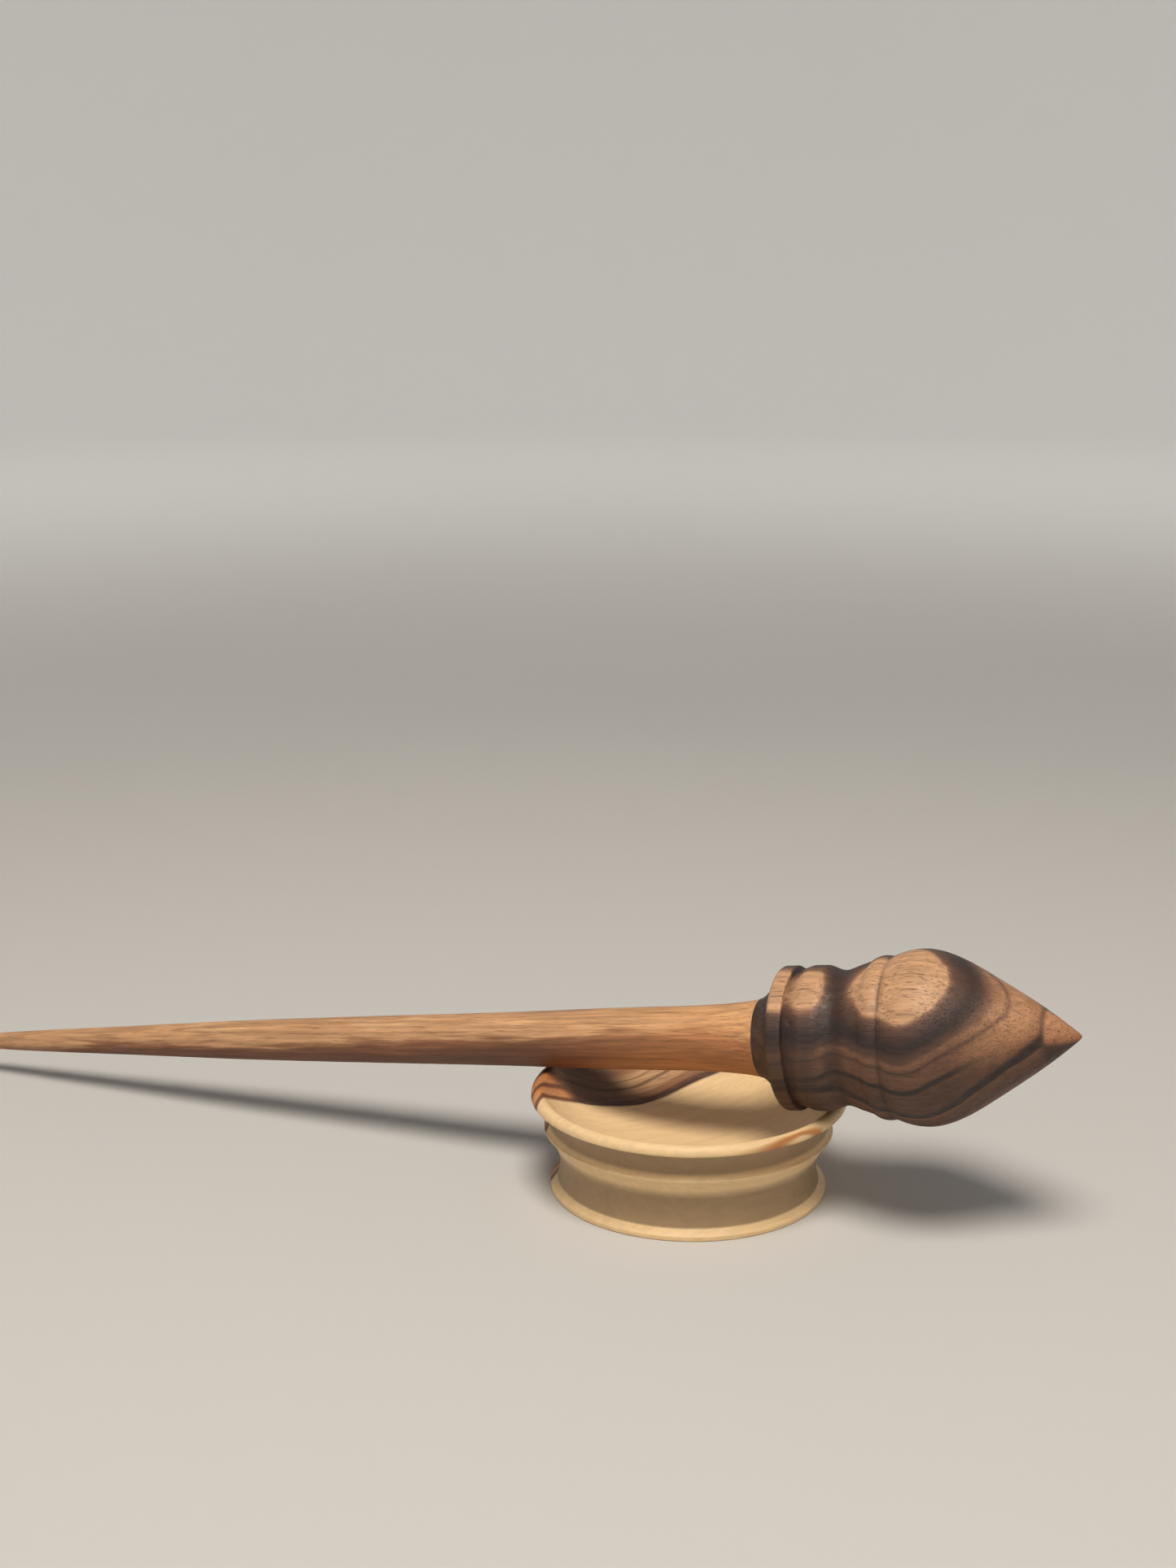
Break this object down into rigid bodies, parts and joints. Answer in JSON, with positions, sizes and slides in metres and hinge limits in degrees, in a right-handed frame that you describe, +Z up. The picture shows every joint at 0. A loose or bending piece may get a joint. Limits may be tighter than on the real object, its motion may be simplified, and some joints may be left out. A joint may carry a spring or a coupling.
{
  "type": "support spindle",
  "caption": "Turned wooden support spindle with a long tapered shaft and a conical-tipped whorl, lying across the lip of its small dished lap bowl.",
  "frame": {"origin": "centre of the bowl's flat foot, on the surface it stands on", "axes": "+Z up out of the bowl; +X along the lying spindle in plan, towards the whorl's tip; the spindle's axis is in the XZ plane"},
  "size_m": [0.2555, 0.06, 0.0518],
  "materials": {
    "bowl_wood": "oiled satin, pale sapwood with a dark heartwood patch",
    "whorl_wood": "oiled satin, striped light tan and dark brown",
    "shaft_wood": "oiled satin, tan with fine streaks"
  },
  "bodies": {
    "bowl": {"support_bowl": "bowl_wood"},
    "spindle": {"whorl": "whorl_wood", "spindle_shaft": "shaft_wood"}
  },
  "joints": [
    {"name": "spindle_spin", "type": "hinge", "parent": "bowl", "child": "spindle", "pos_m": [0.07317, 0, 0.03963], "axis": [0.9903, 0, 0.1386], "continuous": true}
  ]
}
